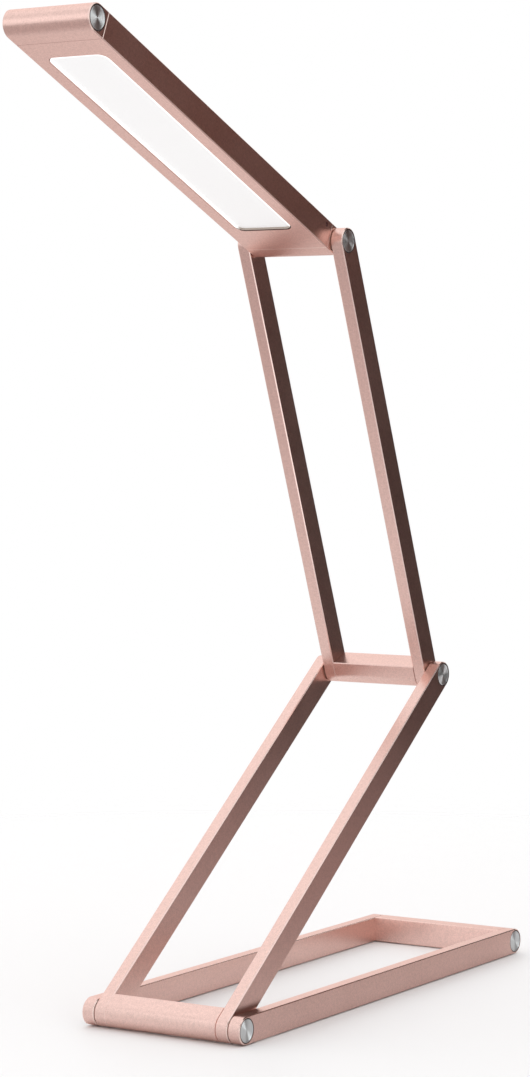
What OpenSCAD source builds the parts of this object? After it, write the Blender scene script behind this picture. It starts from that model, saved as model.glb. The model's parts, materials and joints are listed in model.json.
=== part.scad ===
// Folding desk lamp: a base frame, two arm frames and a flat lighting head.
// The four members nest inside one another and turn on three friction hinges.
// Each member is drawn in its own frame: X runs along it from its lower hinge,
// Y is the hinge axis, and +Z is the side that the light comes out of on the head.

/* [Frames] */
// Outside width of the base frame
base_w = 75; // [70:0.5:90]
// Thickness of every member, which is also the diameter of its round ends
frame_t = 11.2; // [11:0.1:13]
// Width of one side bar
bar_w = 5.5; // [5.2:0.1:7]
// Side clearance between two nested members
side_gap = 0.4; // [0.3:0.05:0.8]
// Chamfer along the machined edges
edge_c = 0.35; // [0.15:0.05:0.5]
// Chamfer at the seam between the head's tube and its nose cap
seam_c = 0.18; // [0.1:0.02:0.3]
// Chamfer at the finer seam between the head's tube and its hinge cap
hinge_seam_c = 0.06; // [0.04:0.01:0.3]

/* [Lengths] */
// Head, from its hinge axis to the centre of its nose disc
head_l = 187.5; // [170:0.5:220]
// End clearance between a folded member and the cross bar that it meets
fold_gap = 1; // [0.6:0.1:2]
// End clearance between the folded lower arm and the rear bar
rear_gap = 4.5; // [4.4:0.1:7]
// From a hinge axis to the flat inner face of its cross bar
cross_d = 5.75; // [5.5:0.05:7]
// From the rear discs to the flat inner face of the rear bar
rear_d = 7; // [6:0.1:9]

/* [Pose] */
// Slope of the lower arm above the table
lower_angle = 36.5; // [20:0.5:80]
// Slope of the upper arm above the table
upper_angle = 111.4; // [100:0.2:120]
// Slope of the head above the table
head_angle = 156.9; // [140:0.1:175]

/* [Hinge hardware] */
// Ring of frame metal left around each cover disc
disc_rim = 0.6; // [0.5:0.05:1.2]
// Thickness of a cover disc
disc_t = 0.9; // [0.75:0.05:1]
// Width of the shadow groove around a disc's turned face
disc_gap = 0.35; // [0.15:0.05:0.45]
// Depth of the shadow groove
disc_step = 0.5; // [0.25:0.05:0.6]
// Diameter of a screw's head
screw_head_d = 7; // [6:0.1:7.4]
// Thickness of a screw's head
screw_head_t = 1.5; // [1.2:0.05:1.7]
// Diameter of a hinge screw's plain shoulder
shoulder_d = 5; // [4.6:0.1:5.4]
// Diameter of the threaded part
thread_d = 4; // [3:0.1:4.2]
// Depth of the thread in a cross bar or cap
thread_in = 8; // [6:0.5:11]
// Thickness of the spring washer under a hinge screw's head
spring_washer_t = 0.4; // [0.3:0.05:0.5]
// Diameter of the friction washer between two bars
friction_washer_d = 9; // [8:0.1:9.4]
// Depth of the friction washer's seat
washer_seat = 0.6; // [0.4:0.05:0.7]
// Diameter of the dowels that keep the bars square
dowel_d = 1.8; // [1.4:0.1:2]
// Depth of a dowel in each of its two pieces
dowel_in = 3.5; // [2.5:0.1:4]

/* [Foot pads] */
// Thickness of a pad
pad_t = 1; // [0.9:0.05:1.4]
// How far the pads stand below the base
pad_proud = 0.4; // [0.3:0.05:0.6]
// Length of the two front pads
front_pad_l = 16; // [10:0.5:30]
// From the front hinge axis to the near end of the front pads
front_pad_start = 7; // [6:0.5:20]
// Width of the two front pads
front_pad_w = 3.6; // [3:0.1:3.9]
// Length of the rear pad
rear_pad_l = 42; // [20:1:50]
// Width of the rear pad
rear_pad_w = 5; // [3.5:0.1:5.2]

/* [Head casing] */
// Wall of the head's tube
tube_wall = 1.2; // [1:0.05:1.4]
// From a round end's centre to its seam with the tube
cap_d = 5.75; // [5.7:0.05:7]
// Length of the tongue on the hinge cap
hinge_tongue_l = 8; // [5:0.5:9]
// Length of the tongue on the nose cap
nose_tongue_l = 6; // [4:0.5:7]
// From the hinge axis to the near edge of the light window
window_start = 23.5; // [22:0.5:30]
// From the nose disc's centre to the far edge of the light window
window_end = 16.5; // [16:0.5:24]
// Metal beside the light window
window_margin = 6.2; // [5.5:0.1:9]
// Corner radius of the light window
window_r = 4; // [2:0.1:6]
// Chamfer around the light window
window_c = 0.15; // [0.1:0.05:0.35]
// Shadow gap between the window and the diffuser's rim
window_gap = 0.35; // [0.1:0.05:0.6]

/* [Lighting] */
// Thickness of the diffuser's flange
flange_t = 0.8; // [0.7:0.05:1.1]
// How far the flange reaches beyond the window
flange_lip = 2; // [1.2:0.1:3]
// Width of the diffuser's raised rim
diffuser_rim_w = 0.5; // [0.3:0.05:1]
// Depth of the rim below the metal
diffuser_rim_in = 0.2; // [0.1:0.05:0.4]
// Depth of the diffuser's lit face below the metal
diffuser_in = 0.95; // [0.6:0.05:1]
// Thickness of the seal between the diffuser's flange and the tube
seal_t = 0.3; // [0.2:0.05:0.4]
// Thickness of the light guide
guide_t = 2; // [1.6:0.1:2.1]
// Thickness of the reflector sheet
reflector_t = 0.3; // [0.2:0.05:0.4]
// Thickness of the light strip's board
strip_t = 0.8; // [0.6:0.05:0.9]
// Number of light emitters on the strip
emitters = 20; // [12:1:24]
// Size of one emitter: along the strip, out of it and across it
emitter = [3, 0.8, 1.4];

/* [Electronics] */
// Thickness of the battery
battery_t = 4; // [3:0.1:4.1]
// From the hinge axis to the battery
battery_start = 37; // [36:0.5:45]
// From the battery to the nose disc's centre
battery_end = 38; // [30:1:60]
// Thickness of the control board
board_t = 1; // [0.8:0.05:1.2]
// From the hinge axis to the control board
board_start = 8; // [7:0.1:8.4]
// Length of the control board
board_l = 26; // [24:0.5:27]
// From the hinge axis to the middle of the charging socket
socket_x = 19; // [18.4:0.1:22]
// Charging socket: along the board, into the head and in height
socket = [7.5, 5.6, 2.6];
// From the hinge axis to the charge light
charge_light_x = 10; // [9.4:0.1:11]
// Diameter of the charge light
charge_light_d = 1.9; // [1.2:0.1:2]

/* [Power button] */
// Travel of the button
button_travel = 0.5; // [0.3:0.05:0.6]
// Thickness of the button's disc
button_t = 1.6; // [1.2:0.1:2]
// Diameter of the button's stem
stem_d = 3.2; // [2.6:0.1:3.6]
// Switch behind the button: along the head, across it and in height
switch_size = [6, 3.5, 6];

/* [Hidden] */
$fn = 64;

// Clearances: between seated pieces, around a turning shaft, around a casing tongue
seat_fit = 0.05;
run_fit = 0.05;
case_fit = 0.1;
// Room beside a screw's head, and above it under the cover disc
head_side = 0.3;
head_top = 0.1;
// Overshoot of a cut past the surface that it opens
cut = 0.5;

end_r = frame_t / 2;
disc_r = end_r - disc_rim;
screw_head_r = screw_head_d / 2;
shoulder_r = shoulder_d / 2;
thread_r = thread_d / 2;
dowel_r = dowel_d / 2;
washer_r = friction_washer_d / 2;

// Half width of each member, from the base inwards
half_base = base_w / 2;
half_lower = half_base - bar_w - side_gap;
half_upper = half_lower - bar_w - side_gap;
half_head = half_upper - bar_w - side_gap;

// Axis to axis lengths that let the members fold into each other
upper_l = head_l + end_r + fold_gap + cross_d;
lower_l = upper_l + end_r + fold_gap + cross_d;
base_l = lower_l + end_r + rear_gap + rear_d;

// The object's box is centred over the origin, with the pads on Z = 0
axis_z = end_r + pad_proud;
head_reach = lower_l * cos(lower_angle) + upper_l * cos(upper_angle) + head_l * cos(head_angle);
base_x = -(head_reach + base_l) / 2;

// Depths in a hinged bar, from its outer face
screw_room = head_top + screw_head_t;
spring_seat = disc_t + screw_room + spring_washer_t;
rear_seat = disc_t + screw_room;
// Dowels lie between a screw and the flat inner face of its cross bar
dowel_x = (thread_r + cross_d) / 2;
rear_dowel_x = (screw_head_r + head_side + rear_d) / 2;

// Middles of the pads along the base
front_pad_x = front_pad_start + front_pad_l / 2;
rear_pad_x = base_l - rear_d / 2;

// Inside of the head
inner_y = half_head - tube_wall;
inner_z = end_r - tube_wall;
window_l = head_l - window_start - window_end;
window_w = 2 * (half_head - window_margin);
flange_x = window_start - flange_lip;
flange_l = window_l + 2 * flange_lip;
flange_w = window_w + 2 * flange_lip;
strip_y = inner_y - strip_t - seat_fit;
emitter_y = strip_y - emitter[1];
guide_w = inner_y - seat_fit + emitter_y;
flange_top = inner_z - seal_t;
guide_z = flange_top - flange_t - guide_t;
reflector_z = guide_z - reflector_t;
battery_z = -inner_z + seat_fit;
battery_l = head_l - battery_start - battery_end;
lead_d = 1;
battery_w = 2 * (inner_y - lead_d - 4 * case_fit);
board_z = battery_z;
board_top = board_z + board_t;
tongue_z = board_top + socket[2] + 3 * case_fit;
charge_light_z = board_top + charge_light_d / 6;
charge_light_in = 1.2;
charge_light_l = tube_wall + charge_light_in;

// Power button, from the nose cap's right face inwards
button_seat = button_t + button_travel + case_fit;
web_t = 1.2;
clip_t = 0.5;
clip_rim = 1;
stem_in = 0.5;
pocket_y = button_seat + web_t;
switch_y = pocket_y + seat_fit + clip_t + button_travel + case_fit;
stem_end = switch_y + stem_in;
plunger_end = stem_end + button_travel + case_fit;
pocket_w = switch_y + switch_size[1] + case_fit - pocket_y;

rose_gold = [0.82, 0.62, 0.57];
spun_metal = [0.70, 0.71, 0.73];
steel = [0.55, 0.56, 0.58];

// ---- Places of the four members ----

module at_base() {
    translate([base_x, 0, axis_z]) children();
}

module at_lower() {
    at_base() rotate([0, -lower_angle, 0]) children();
}

module at_upper() {
    at_lower() translate([lower_l, 0, 0]) rotate([0, lower_angle - upper_angle, 0]) children();
}

module at_head() {
    at_upper() translate([upper_l, 0, 0]) rotate([0, upper_angle - head_angle, 0]) children();
}

module right_side() {
    mirror([0, 1, 0]) children();
}

module both_sides() {
    children();
    right_side() children();
}

// ---- Basic forms ----

// Cylinder along Y, from y0 to y1
module rod_y(r, y0, y1) {
    translate([0, y0, 0]) rotate([-90, 0, 0]) cylinder(r = r, h = y1 - y0);
}

// Ring along Y, from y0 to y1
module ring_y(r, hole_r, y0, y1) {
    difference() {
        rod_y(r, y0, y1);
        rod_y(hole_r, y0 - cut, y1 + cut);
    }
}

// Rectangle whose corners at x0 and at x1 are cut off by c0 and c1
function cut_rect(x0, x1, y0, y1, c0, c1) = concat(
    c0 > 0 ? [[x0, y0 + c0], [x0 + c0, y0]] : [[x0, y0]],
    c1 > 0 ? [[x1 - c1, y0], [x1, y0 + c1]] : [[x1, y0]],
    c1 > 0 ? [[x1, y1 - c1], [x1 - c1, y1]] : [[x1, y1]],
    c0 > 0 ? [[x0 + c0, y1], [x0, y1 - c0]] : [[x0, y1]]);

// Prism along X with its long edges chamfered
module long_prism(x0, x1, y0, y1, c) {
    translate([x0, 0, 0]) rotate([90, 0, 90])
        linear_extrude(x1 - x0) polygon(cut_rect(y0, y1, -end_r, end_r, c, c));
}

// Half disc on the -X side of the Y axis, from y0 to y1, with chamfered rims
module half_round(y0, y1, c) {
    w = y1 - y0;
    rim = c > 0
        ? [[0, 0], [end_r - c, 0], [end_r, c], [end_r, w - c], [end_r - c, w], [0, w]]
        : [[0, 0], [end_r, 0], [end_r, w], [0, w]];
    translate([0, y0, 0]) rotate([-90, 0, 0]) rotate([0, 0, 90])
        rotate_extrude(angle = 180) polygon(rim);
}

// Straight bar with a full round at both ends, inside a hinged frame of half width h
module side_bar(len, h) {
    long_prism(0, len, h - bar_w, h, edge_c);
    half_round(h - bar_w, h, edge_c);
    translate([len, 0, 0]) mirror([1, 0, 0]) half_round(h - bar_w, h, edge_c);
}

// D-section bar along Y: round towards -X, flat at x = d
module d_bar(d, h) {
    half_round(-h, h, 0);
    translate([0, h, 0]) rotate([90, 0, 0])
        linear_extrude(2 * h) polygon(cut_rect(0, d, -end_r, end_r, 0, edge_c));
}

// Solid cap of the head: round towards -X, and a seam with the tube at x = cap_d, where its
// edges are chamfered by c
module end_cap(c) {
    half_round(-half_head, half_head, edge_c);
    intersection() {
        long_prism(0, cap_d, -half_head, half_head, edge_c);
        translate([0, half_head + cut, 0]) rotate([90, 0, 0])
            linear_extrude(2 * (half_head + cut))
                polygon(cut_rect(0, cap_d, -end_r, end_r, 0, c));
        translate([0, 0, -end_r - cut]) linear_extrude(2 * (end_r + cut))
            polygon(cut_rect(0, cap_d, -half_head, half_head, 0, c));
    }
}

// Plate with round corners, lying in XY with its first corner at the origin
module round_plate(l, w, t, r) {
    translate([r, 0, 0]) cube([l - 2 * r, w, t]);
    translate([0, r, 0]) cube([l, w - 2 * r, t]);
    for (x = [r, l - r], y = [r, w - r])
        translate([x, y, 0]) cylinder(r = r, h = t);
}

// The same plate with walls that flare outwards at 45 degrees
module flared_plate(l, w, t, r) {
    for (x = [r, l - r], y = [r, w - r])
        translate([x, y, 0]) cylinder(r1 = r, r2 = r + t, h = t);
    translate([r, 0, 0]) rotate([90, 0, 90])
        linear_extrude(l - 2 * r) polygon([[0, 0], [w, 0], [w + t, t], [-t, t]]);
    translate([0, w - r, 0]) rotate([90, 0, 0])
        linear_extrude(w - 2 * r) polygon([[0, 0], [l, 0], [l + t, t], [-t, t]]);
}

// Pad with round ends, centred on X and Y, from z = 0 up
module pad(l, w, t) {
    translate([-l / 2 + w / 2, -w / 2, 0]) cube([l - w, w, t]);
    for (x = [-1, 1])
        translate([x * (l - w) / 2, 0, 0]) cylinder(d = w, h = t);
}

// ---- Hinge hardware, for the left side of a frame of half width h ----

// Seat of a cover disc and the screw head under it, with a light countersink
module disc_seat_cut(h, depth) {
    rod_y(disc_r + seat_fit, h - disc_t, h + cut);
    rod_y(screw_head_r + head_side, h - depth, h + cut);
}

// All that is cut from the outer bar of a hinge
module outer_hinge_cut(h) {
    disc_seat_cut(h, spring_seat);
    rod_y(shoulder_r + run_fit, h - bar_w - cut, h);
    rod_y(washer_r + seat_fit, h - bar_w - cut, h - bar_w + washer_seat);
}

// Thread and dowel holes at the end of a frame: h is the frame's half width
module thread_cut(h, depth) {
    rod_y(thread_r + seat_fit, h - depth, h + cut);
}

module dowel_cut(h, x) {
    translate([x, 0, 0])
        rod_y(dowel_r + seat_fit, h - bar_w - dowel_in - seat_fit, h - bar_w + dowel_in + seat_fit);
}

module dowel(h, x) {
    translate([x, 0, 0]) rod_y(dowel_r, h - bar_w - dowel_in, h - bar_w + dowel_in);
}

// Stepped disc of thickness t: its turned face is dished inside a raised rim, flush with
// the frame's outer face, and the step leaves a shadow groove around it
module turned_disc(h, t) {
    dish = 0.12;
    rim_w = 0.35;
    face_r = disc_r - disc_gap;
    translate([0, h - t, 0]) rotate([-90, 0, 0]) rotate_extrude()
        polygon([[0, 0], [disc_r, 0], [disc_r, t - disc_step], [face_r, t - disc_step],
                 [face_r, t - dish], [face_r - dish, t], [face_r - rim_w, t],
                 [face_r - rim_w - dish, t - dish], [0, t - dish]]);
}

module cover_disc(h) {
    turned_disc(h, disc_t);
}

// Hexagonal socket in a screw's head, whose face is at y = h
module hex_socket(h) {
    key_r = 1.6;
    key_in = 1;
    translate([0, h - key_in, 0]) rotate([-90, 0, 0]) cylinder(r = key_r, h = key_in + cut, $fn = 6);
}

// Shoulder screw: h is the outer frame's half width, inner_h the inner frame's
module hinge_screw(h, inner_h, thread_l) {
    head_y = h - disc_t - head_top;
    difference() {
        union() {
            rod_y(screw_head_r, head_y - screw_head_t, head_y);
            rod_y(shoulder_r, inner_h, head_y - screw_head_t);
            rod_y(thread_r, inner_h - thread_l, inner_h);
        }
        hex_socket(head_y);
    }
}

module spring_washer(h) {
    ring_y(screw_head_r, shoulder_r + case_fit, h - spring_seat, h - spring_seat + spring_washer_t);
}

module friction_washer(h) {
    inner = h - bar_w;
    ring_y(washer_r, shoulder_r + case_fit, inner - side_gap + seat_fit, inner + washer_seat);
}

// ---- Base ----

module pad_seat(l, w) {
    translate([0, 0, -end_r - cut])
        pad(l + 2 * seat_fit, w + 2 * seat_fit, cut + pad_t - pad_proud);
}

module base_bar() {
    difference() {
        side_bar(base_l, half_base);
        outer_hinge_cut(half_base);
        translate([base_l, 0, 0]) {
            disc_seat_cut(half_base, rear_seat);
            rod_y(thread_r + seat_fit, half_base - bar_w - cut, half_base);
        }
        dowel_cut(half_base, base_l - rear_dowel_x);
        translate([front_pad_x, half_base - bar_w / 2, 0]) pad_seat(front_pad_l, front_pad_w);
    }
}

module base_bar_left() {
    color(rose_gold) at_base() base_bar();
}

module base_bar_right() {
    color(rose_gold) at_base() right_side() base_bar();
}

module base_rear_bar() {
    h = half_base - bar_w;
    color(rose_gold) at_base() difference() {
        translate([base_l, 0, 0]) mirror([1, 0, 0]) d_bar(rear_d, h);
        both_sides() {
            translate([base_l, 0, 0]) thread_cut(h, thread_in + 2 * case_fit);
            dowel_cut(half_base, base_l - rear_dowel_x);
        }
        translate([rear_pad_x, 0, 0]) rotate([0, 0, 90]) pad_seat(rear_pad_l, rear_pad_w);
    }
}

module base_screws() {
    head_y = half_base - disc_t - head_top;
    color(steel) at_base() translate([base_l, 0, 0]) both_sides() difference() {
        union() {
            rod_y(screw_head_r, head_y - screw_head_t, head_y);
            rod_y(thread_r, half_base - bar_w - thread_in, head_y - screw_head_t);
        }
        hex_socket(head_y);
    }
}

module base_dowels() {
    color(steel) at_base() both_sides() dowel(half_base, base_l - rear_dowel_x);
}

module front_foot_pads() {
    color("dimgray") at_base() both_sides()
        translate([front_pad_x, half_base - bar_w / 2, -axis_z]) pad(front_pad_l, front_pad_w, pad_t);
}

module rear_foot_pad() {
    color("dimgray") at_base()
        translate([rear_pad_x, 0, -axis_z]) rotate([0, 0, 90]) pad(rear_pad_l, rear_pad_w, pad_t);
}

module base_cover_discs() {
    color(spun_metal) at_base() both_sides() {
        cover_disc(half_base);
        translate([base_l, 0, 0]) cover_disc(half_base);
    }
}

module base_friction_washers() {
    color("ivory") at_base() both_sides() friction_washer(half_base);
}

module base_spring_washers() {
    color(steel) at_base() both_sides() spring_washer(half_base);
}

// ---- Arms ----

// Side bar of an arm: threaded at its lower hinge, a hinge seat at its upper one
module arm_bar(len, h) {
    difference() {
        side_bar(len, h);
        thread_cut(h, bar_w + cut);
        dowel_cut(h, dowel_x);
        translate([len, 0, 0]) outer_hinge_cut(h);
    }
}

module arm_cross_bar(h) {
    difference() {
        d_bar(cross_d, h - bar_w);
        both_sides() {
            thread_cut(h - bar_w, thread_in + 2 * case_fit);
            dowel_cut(h, dowel_x);
        }
    }
}

module lower_bar_left() {
    color(rose_gold) at_lower() arm_bar(lower_l, half_lower);
}

module lower_bar_right() {
    color(rose_gold) at_lower() right_side() arm_bar(lower_l, half_lower);
}

module lower_cross_bar() {
    color(rose_gold) at_lower() arm_cross_bar(half_lower);
}

module base_hinge_screws() {
    color(steel) at_lower() both_sides() hinge_screw(half_base, half_lower, bar_w + thread_in);
}

module lower_dowels() {
    color(steel) at_lower() both_sides() dowel(half_lower, dowel_x);
}

module lower_cover_discs() {
    color(spun_metal) at_lower() translate([lower_l, 0, 0]) both_sides() cover_disc(half_lower);
}

module mid_friction_washers() {
    color("ivory") at_lower() translate([lower_l, 0, 0]) both_sides() friction_washer(half_lower);
}

module mid_spring_washers() {
    color(steel) at_lower() translate([lower_l, 0, 0]) both_sides() spring_washer(half_lower);
}

module upper_bar_left() {
    color(rose_gold) at_upper() arm_bar(upper_l, half_upper);
}

module upper_bar_right() {
    color(rose_gold) at_upper() right_side() arm_bar(upper_l, half_upper);
}

module upper_cross_bar() {
    color(rose_gold) at_upper() arm_cross_bar(half_upper);
}

module mid_hinge_screws() {
    color(steel) at_upper() both_sides() hinge_screw(half_lower, half_upper, bar_w + thread_in);
}

module upper_dowels() {
    color(steel) at_upper() both_sides() dowel(half_upper, dowel_x);
}

module upper_cover_discs() {
    color(spun_metal) at_upper() translate([upper_l, 0, 0]) both_sides() cover_disc(half_upper);
}

module head_friction_washers() {
    color("ivory") at_upper() translate([upper_l, 0, 0]) both_sides() friction_washer(half_upper);
}

module head_spring_washers() {
    color(steel) at_upper() translate([upper_l, 0, 0]) both_sides() spring_washer(half_upper);
}

// ---- Head casing ----

module window_cut() {
    translate([window_start, -window_w / 2, 0]) {
        translate([0, 0, inner_z - cut])
            round_plate(window_l, window_w, tube_wall + 2 * cut, window_r);
        translate([0, 0, end_r - window_c])
            flared_plate(window_l, window_w, window_c + cut, window_r);
    }
}

// Slot in the left wall for the charging socket
module socket_cut() {
    translate([socket_x - socket[0] / 2 - case_fit, inner_y - cut, board_top - case_fit])
        cube([socket[0] + 2 * case_fit, tube_wall + 2 * cut, socket[2] + 2 * case_fit]);
}

module charge_light_cut() {
    translate([charge_light_x, 0, charge_light_z])
        rod_y(charge_light_d / 2 + seat_fit, -half_head - cut, -inner_y + cut);
}

module head_tube() {
    x1 = head_l - cap_d;
    color(rose_gold) at_head() difference() {
        intersection() {
            long_prism(cap_d, x1, -half_head, half_head, edge_c);
            translate([0, half_head + cut, 0]) rotate([90, 0, 0])
                linear_extrude(2 * (half_head + cut))
                    polygon(cut_rect(cap_d, x1, -end_r, end_r, hinge_seam_c, seam_c));
            translate([0, 0, -end_r - cut]) linear_extrude(2 * (end_r + cut))
                polygon(cut_rect(cap_d, x1, -half_head, half_head, hinge_seam_c, seam_c));
        }
        translate([cap_d - cut, -inner_y, -inner_z])
            cube([x1 - cap_d + 2 * cut, 2 * inner_y, 2 * inner_z]);
        window_cut();
        socket_cut();
        charge_light_cut();
    }
}

module hinge_cap() {
    tongue_y = inner_y - case_fit;
    color(rose_gold) at_head() difference() {
        union() {
            end_cap(hinge_seam_c);
            translate([cap_d - cut, -tongue_y, tongue_z])
                cube([hinge_tongue_l + cut, 2 * tongue_y, inner_z - case_fit - tongue_z]);
        }
        both_sides() thread_cut(half_head, bar_w + thread_in + 2 * case_fit);
    }
}

// Seat, stem hole and switch pocket of the power button, in the nose cap's right end
module button_cut() {
    pocket_x = switch_size[0] / 2 + case_fit;
    pocket_z = switch_size[2] / 2 + case_fit;
    rod_y(disc_r + run_fit, half_head - button_seat, half_head + cut);
    rod_y(stem_d / 2 + run_fit, half_head - pocket_y - cut, half_head);
    translate([-pocket_x, half_head - pocket_y - pocket_w, -pocket_z])
        cube([pocket_x + cap_d + nose_tongue_l + cut, pocket_w, 2 * pocket_z]);
}

module nose_cap() {
    tongue_y = inner_y - case_fit;
    tongue_h = inner_z - case_fit;
    color(rose_gold) at_head() translate([head_l, 0, 0]) mirror([1, 0, 0]) difference() {
        union() {
            end_cap(seam_c);
            translate([cap_d - cut, -tongue_y, -tongue_h])
                cube([nose_tongue_l + cut, 2 * tongue_y, 2 * tongue_h]);
        }
        rod_y(disc_r + seat_fit, half_head - disc_t, half_head + cut);
        right_side() button_cut();
    }
}

module head_hinge_screws() {
    color(steel) at_head() both_sides() hinge_screw(half_upper, half_head, bar_w + thread_in);
}

module nose_cover_disc() {
    color(spun_metal) at_head() translate([head_l, 0, 0]) cover_disc(half_head);
}

// ---- Lighting ----

// Plate of thickness t in the window's outline, drawn in by d on all sides, from z up
module window_plate(d, z, t) {
    translate([window_start + d, d - window_w / 2, z])
        round_plate(window_l - 2 * d, window_w - 2 * d, t, window_r - d);
}

// Soft seal that lies on the diffuser's flange, around its raised part
module window_seal() {
    color("black") at_head() difference() {
        translate([flange_x, -flange_w / 2, flange_top]) cube([flange_l, flange_w, seal_t]);
        window_plate(window_gap - seat_fit, flange_top - cut, seal_t + 2 * cut);
    }
}

// The lit face is sunk inside a rim that stands up through the seal and the window
module diffuser() {
    color("white") at_head() difference() {
        union() {
            translate([flange_x, -flange_w / 2, flange_top - flange_t])
                cube([flange_l, flange_w, flange_t]);
            window_plate(window_gap, flange_top - cut, end_r - diffuser_rim_in - flange_top + cut);
        }
        window_plate(window_gap + diffuser_rim_w, end_r - diffuser_in, diffuser_in + cut);
    }
}

module light_guide() {
    color("white") at_head() translate([flange_x, -inner_y + seat_fit, guide_z])
        cube([flange_l, guide_w, guide_t]);
}

module reflector() {
    color("snow") at_head() translate([flange_x, -inner_y + seat_fit, reflector_z])
        cube([flange_l, guide_w, reflector_t]);
}

module light_strip() {
    color("whitesmoke") at_head() translate([window_start, strip_y, guide_z])
        cube([window_l, strip_t, guide_t]);
}

module light_emitters() {
    pitch = window_l / emitters;
    color("khaki") at_head() for (i = [0 : emitters - 1])
        translate([window_start + (i + 0.5) * pitch - emitter[0] / 2, emitter_y,
                   guide_z + (guide_t - emitter[2]) / 2])
            cube(emitter);
}

// Foam that presses the light guide against the window
module foam_pad() {
    z = battery_z + battery_t;
    color("dimgray") at_head() translate([battery_start, -battery_w / 2, z])
        cube([battery_l, battery_w, reflector_z - z]);
}

// ---- Electronics ----

module battery() {
    fold_r = 1.2;
    color("silver") at_head() translate([battery_start, -battery_w / 2, battery_z])
        round_plate(battery_l, battery_w, battery_t, fold_r);
}

module control_board() {
    y0 = -inner_y + charge_light_in + case_fit;
    chip = [6, 6, 1.2];
    coil = [5, 1.6];
    light = [1.6, 0.8, 1];
    color("darkgreen") at_head() {
        translate([board_start, y0, board_z]) cube([board_l, inner_y - seat_fit - y0, board_t]);
        translate([board_start + board_l / 2 - chip[0] / 2, -2 * chip[1] / 3, board_top - seat_fit])
            cube([chip[0], chip[1], chip[2] + seat_fit]);
        translate([board_start + board_l - coil[0], chip[1], board_top - seat_fit])
            cylinder(d = coil[0], h = coil[1] + seat_fit);
        translate([charge_light_x - light[0] / 2, y0, board_top - seat_fit])
            cube([light[0], light[1], light[2] + seat_fit]);
    }
}

// Charging socket with its open mouth just inside the left wall's outer face
module charging_socket() {
    shell = 0.35;
    mouth = 4.4;
    tongue = [3.7, 0.6];
    face_inset = 0.2;
    y1 = half_head - face_inset;
    color("silver") at_head() translate([socket_x, y1, board_top]) {
        difference() {
            translate([-socket[0] / 2, -socket[1], 0]) cube(socket);
            translate([-socket[0] / 2 + shell, -mouth, shell])
                cube([socket[0] - 2 * shell, mouth + cut, socket[2] - 2 * shell]);
        }
        translate([-tongue[0] / 2, -mouth - seat_fit, (socket[2] - tongue[1]) / 2])
            cube([tongue[0], mouth - face_inset, tongue[1]]);
    }
}

module charge_light() {
    color("lightgray") at_head() translate([charge_light_x, 0, charge_light_z])
        rod_y(charge_light_d / 2, -half_head, -half_head + charge_light_l);
}

module button_switch() {
    color("dimgray") at_head() translate([head_l, 0, 0]) right_side() difference() {
        translate([-switch_size[0] / 2, half_head - switch_y - switch_size[1], -switch_size[2] / 2])
            cube(switch_size);
        rod_y(stem_d / 2 + run_fit, half_head - plunger_end, half_head - switch_y + cut);
    }
}

// Straight wire from a to b, with a ball at b where the next one starts
module wire(a, b) {
    d = b - a;
    translate(a) rotate([0, acos(d[2] / norm(d)), atan2(d[1], d[0])])
        cylinder(d = lead_d, h = norm(d), $fn = 16);
    translate(b) sphere(d = lead_d + seat_fit, $fn = 16);
}

// Leads of the switch, the battery and the light strip
module head_wiring() {
    side_y = -(inner_y + battery_w / 2) / 2;
    lead_z = board_top + lead_d;
    pad_x = board_start + board_l - 2 * lead_d;
    pad_z = board_top + lead_d / 2 + seat_fit;
    switch_mid = switch_y + switch_size[1] / 2 - half_head;
    route = [[head_l - switch_size[0] / 2 - seat_fit, switch_mid, lead_z],
             [head_l - cap_d - nose_tongue_l - 2 * lead_d, switch_mid, lead_z],
             [battery_start + battery_l + 2 * lead_d, side_y, lead_z],
             [battery_start - 1.5 * lead_d, side_y, lead_z],
             [pad_x, 3 * lead_d - inner_y, pad_z]];
    color("firebrick") at_head() {
        for (i = [1 : len(route) - 1])
            wire(route[i - 1], route[i]);
        for (y = [-1, 1] * 2 * lead_d)
            wire([battery_start - seat_fit, y, lead_z], [pad_x, y, pad_z]);
        translate([window_start + lead_d, strip_y + strip_t / 2, board_top + seat_fit])
            cylinder(d = strip_t, h = guide_z - board_top - 2 * seat_fit);
    }
}

// ---- Power button ----

module power_button() {
    color(spun_metal) at_head() translate([head_l, 0, 0]) right_side() {
        turned_disc(half_head, button_t);
        rod_y(stem_d / 2, half_head - stem_end, half_head - button_t + seat_fit);
    }
}

module button_clip() {
    y = half_head - pocket_y - seat_fit;
    color(steel) at_head() translate([head_l, 0, 0]) right_side()
        ring_y(stem_d / 2 + clip_rim, stem_d / 2 + seat_fit, y - clip_t, y);
}

base_bar_left();
base_bar_right();
base_rear_bar();
base_screws();
base_dowels();
front_foot_pads();
rear_foot_pad();
base_cover_discs();
base_friction_washers();
base_spring_washers();
lower_bar_left();
lower_bar_right();
lower_cross_bar();
base_hinge_screws();
lower_dowels();
lower_cover_discs();
mid_friction_washers();
mid_spring_washers();
upper_bar_left();
upper_bar_right();
upper_cross_bar();
mid_hinge_screws();
upper_dowels();
upper_cover_discs();
head_friction_washers();
head_spring_washers();
head_tube();
hinge_cap();
nose_cap();
head_hinge_screws();
nose_cover_disc();
window_seal();
diffuser();
light_guide();
reflector();
light_strip();
light_emitters();
foam_pad();
battery();
control_board();
charging_socket();
charge_light();
button_switch();
head_wiring();
power_button();
button_clip();
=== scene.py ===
"""Folding desk lamp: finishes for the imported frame, turned discs, studio and camera."""

import json
import math
from collections import namedtuple

import bmesh
import bpy
from bpy.props import (
    FloatProperty, FloatVectorProperty, IntProperty, PointerProperty)
from mathutils import Matrix, Vector

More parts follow.
